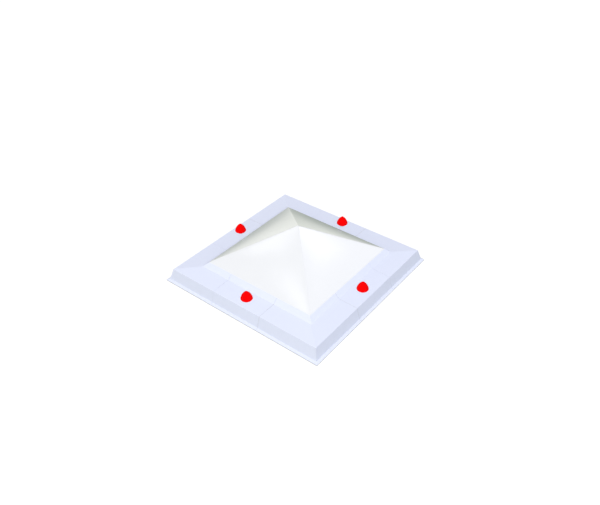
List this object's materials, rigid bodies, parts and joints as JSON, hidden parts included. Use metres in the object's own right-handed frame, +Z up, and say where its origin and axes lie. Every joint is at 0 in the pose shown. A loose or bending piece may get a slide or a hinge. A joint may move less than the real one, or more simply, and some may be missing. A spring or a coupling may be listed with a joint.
{
  "type": "pyramid rooflight",
  "caption": "Fixed square pyramid rooflight for a flat roof: pale flanged frame with a drip lip and skirt, opal glazing pyramid and red caps over its fixing screws.",
  "frame": {"origin": "middle of the light, level with the underside of the drip lip", "axes": "+Z up out of the roof; +X east and +Y north, square to the sides"},
  "size_m": [0.694, 0.694, 0.2032],
  "materials": {
    "frame": "satin moulded",
    "glazing": "gloss opal",
    "cap": "gloss moulded",
    "screw": "zinc plated",
    "strap": "mill",
    "rubber": "matt",
    "foam": "closed-cell foam",
    "spacer": "matt"
  },
  "bodies": {
    "root": {"fixing_cap_east": "cap", "fixing_cap_north": "cap", "fixing_cap_south": "cap", "fixing_cap_west": "cap", "fixing_screw_east": "screw", "fixing_screw_north": "screw", "fixing_screw_south": "screw", "fixing_screw_west": "screw", "frame_corner_north_east": "frame", "frame_corner_north_west": "frame", "frame_corner_south_east": "frame", "frame_corner_south_west": "frame", "frame_side_east": "frame", "frame_side_north": "frame", "frame_side_south": "frame", "frame_side_west": "frame", "glazing_gasket": "rubber", "glazing_spacer": "spacer", "inner_glazing": "glazing", "joint_strap_east_first": "strap", "joint_strap_east_second": "strap", "joint_strap_north_first": "strap", "joint_strap_north_second": "strap", "joint_strap_south_first": "strap", "joint_strap_south_second": "strap", "joint_strap_west_first": "strap", "joint_strap_west_second": "strap", "kerb_seal_east": "foam", "kerb_seal_north": "foam", "kerb_seal_south": "foam", "kerb_seal_west": "foam", "outer_glazing": "glazing", "sealing_washer_east": "rubber", "sealing_washer_north": "rubber", "sealing_washer_south": "rubber", "sealing_washer_west": "rubber"}
  },
  "joints": []
}
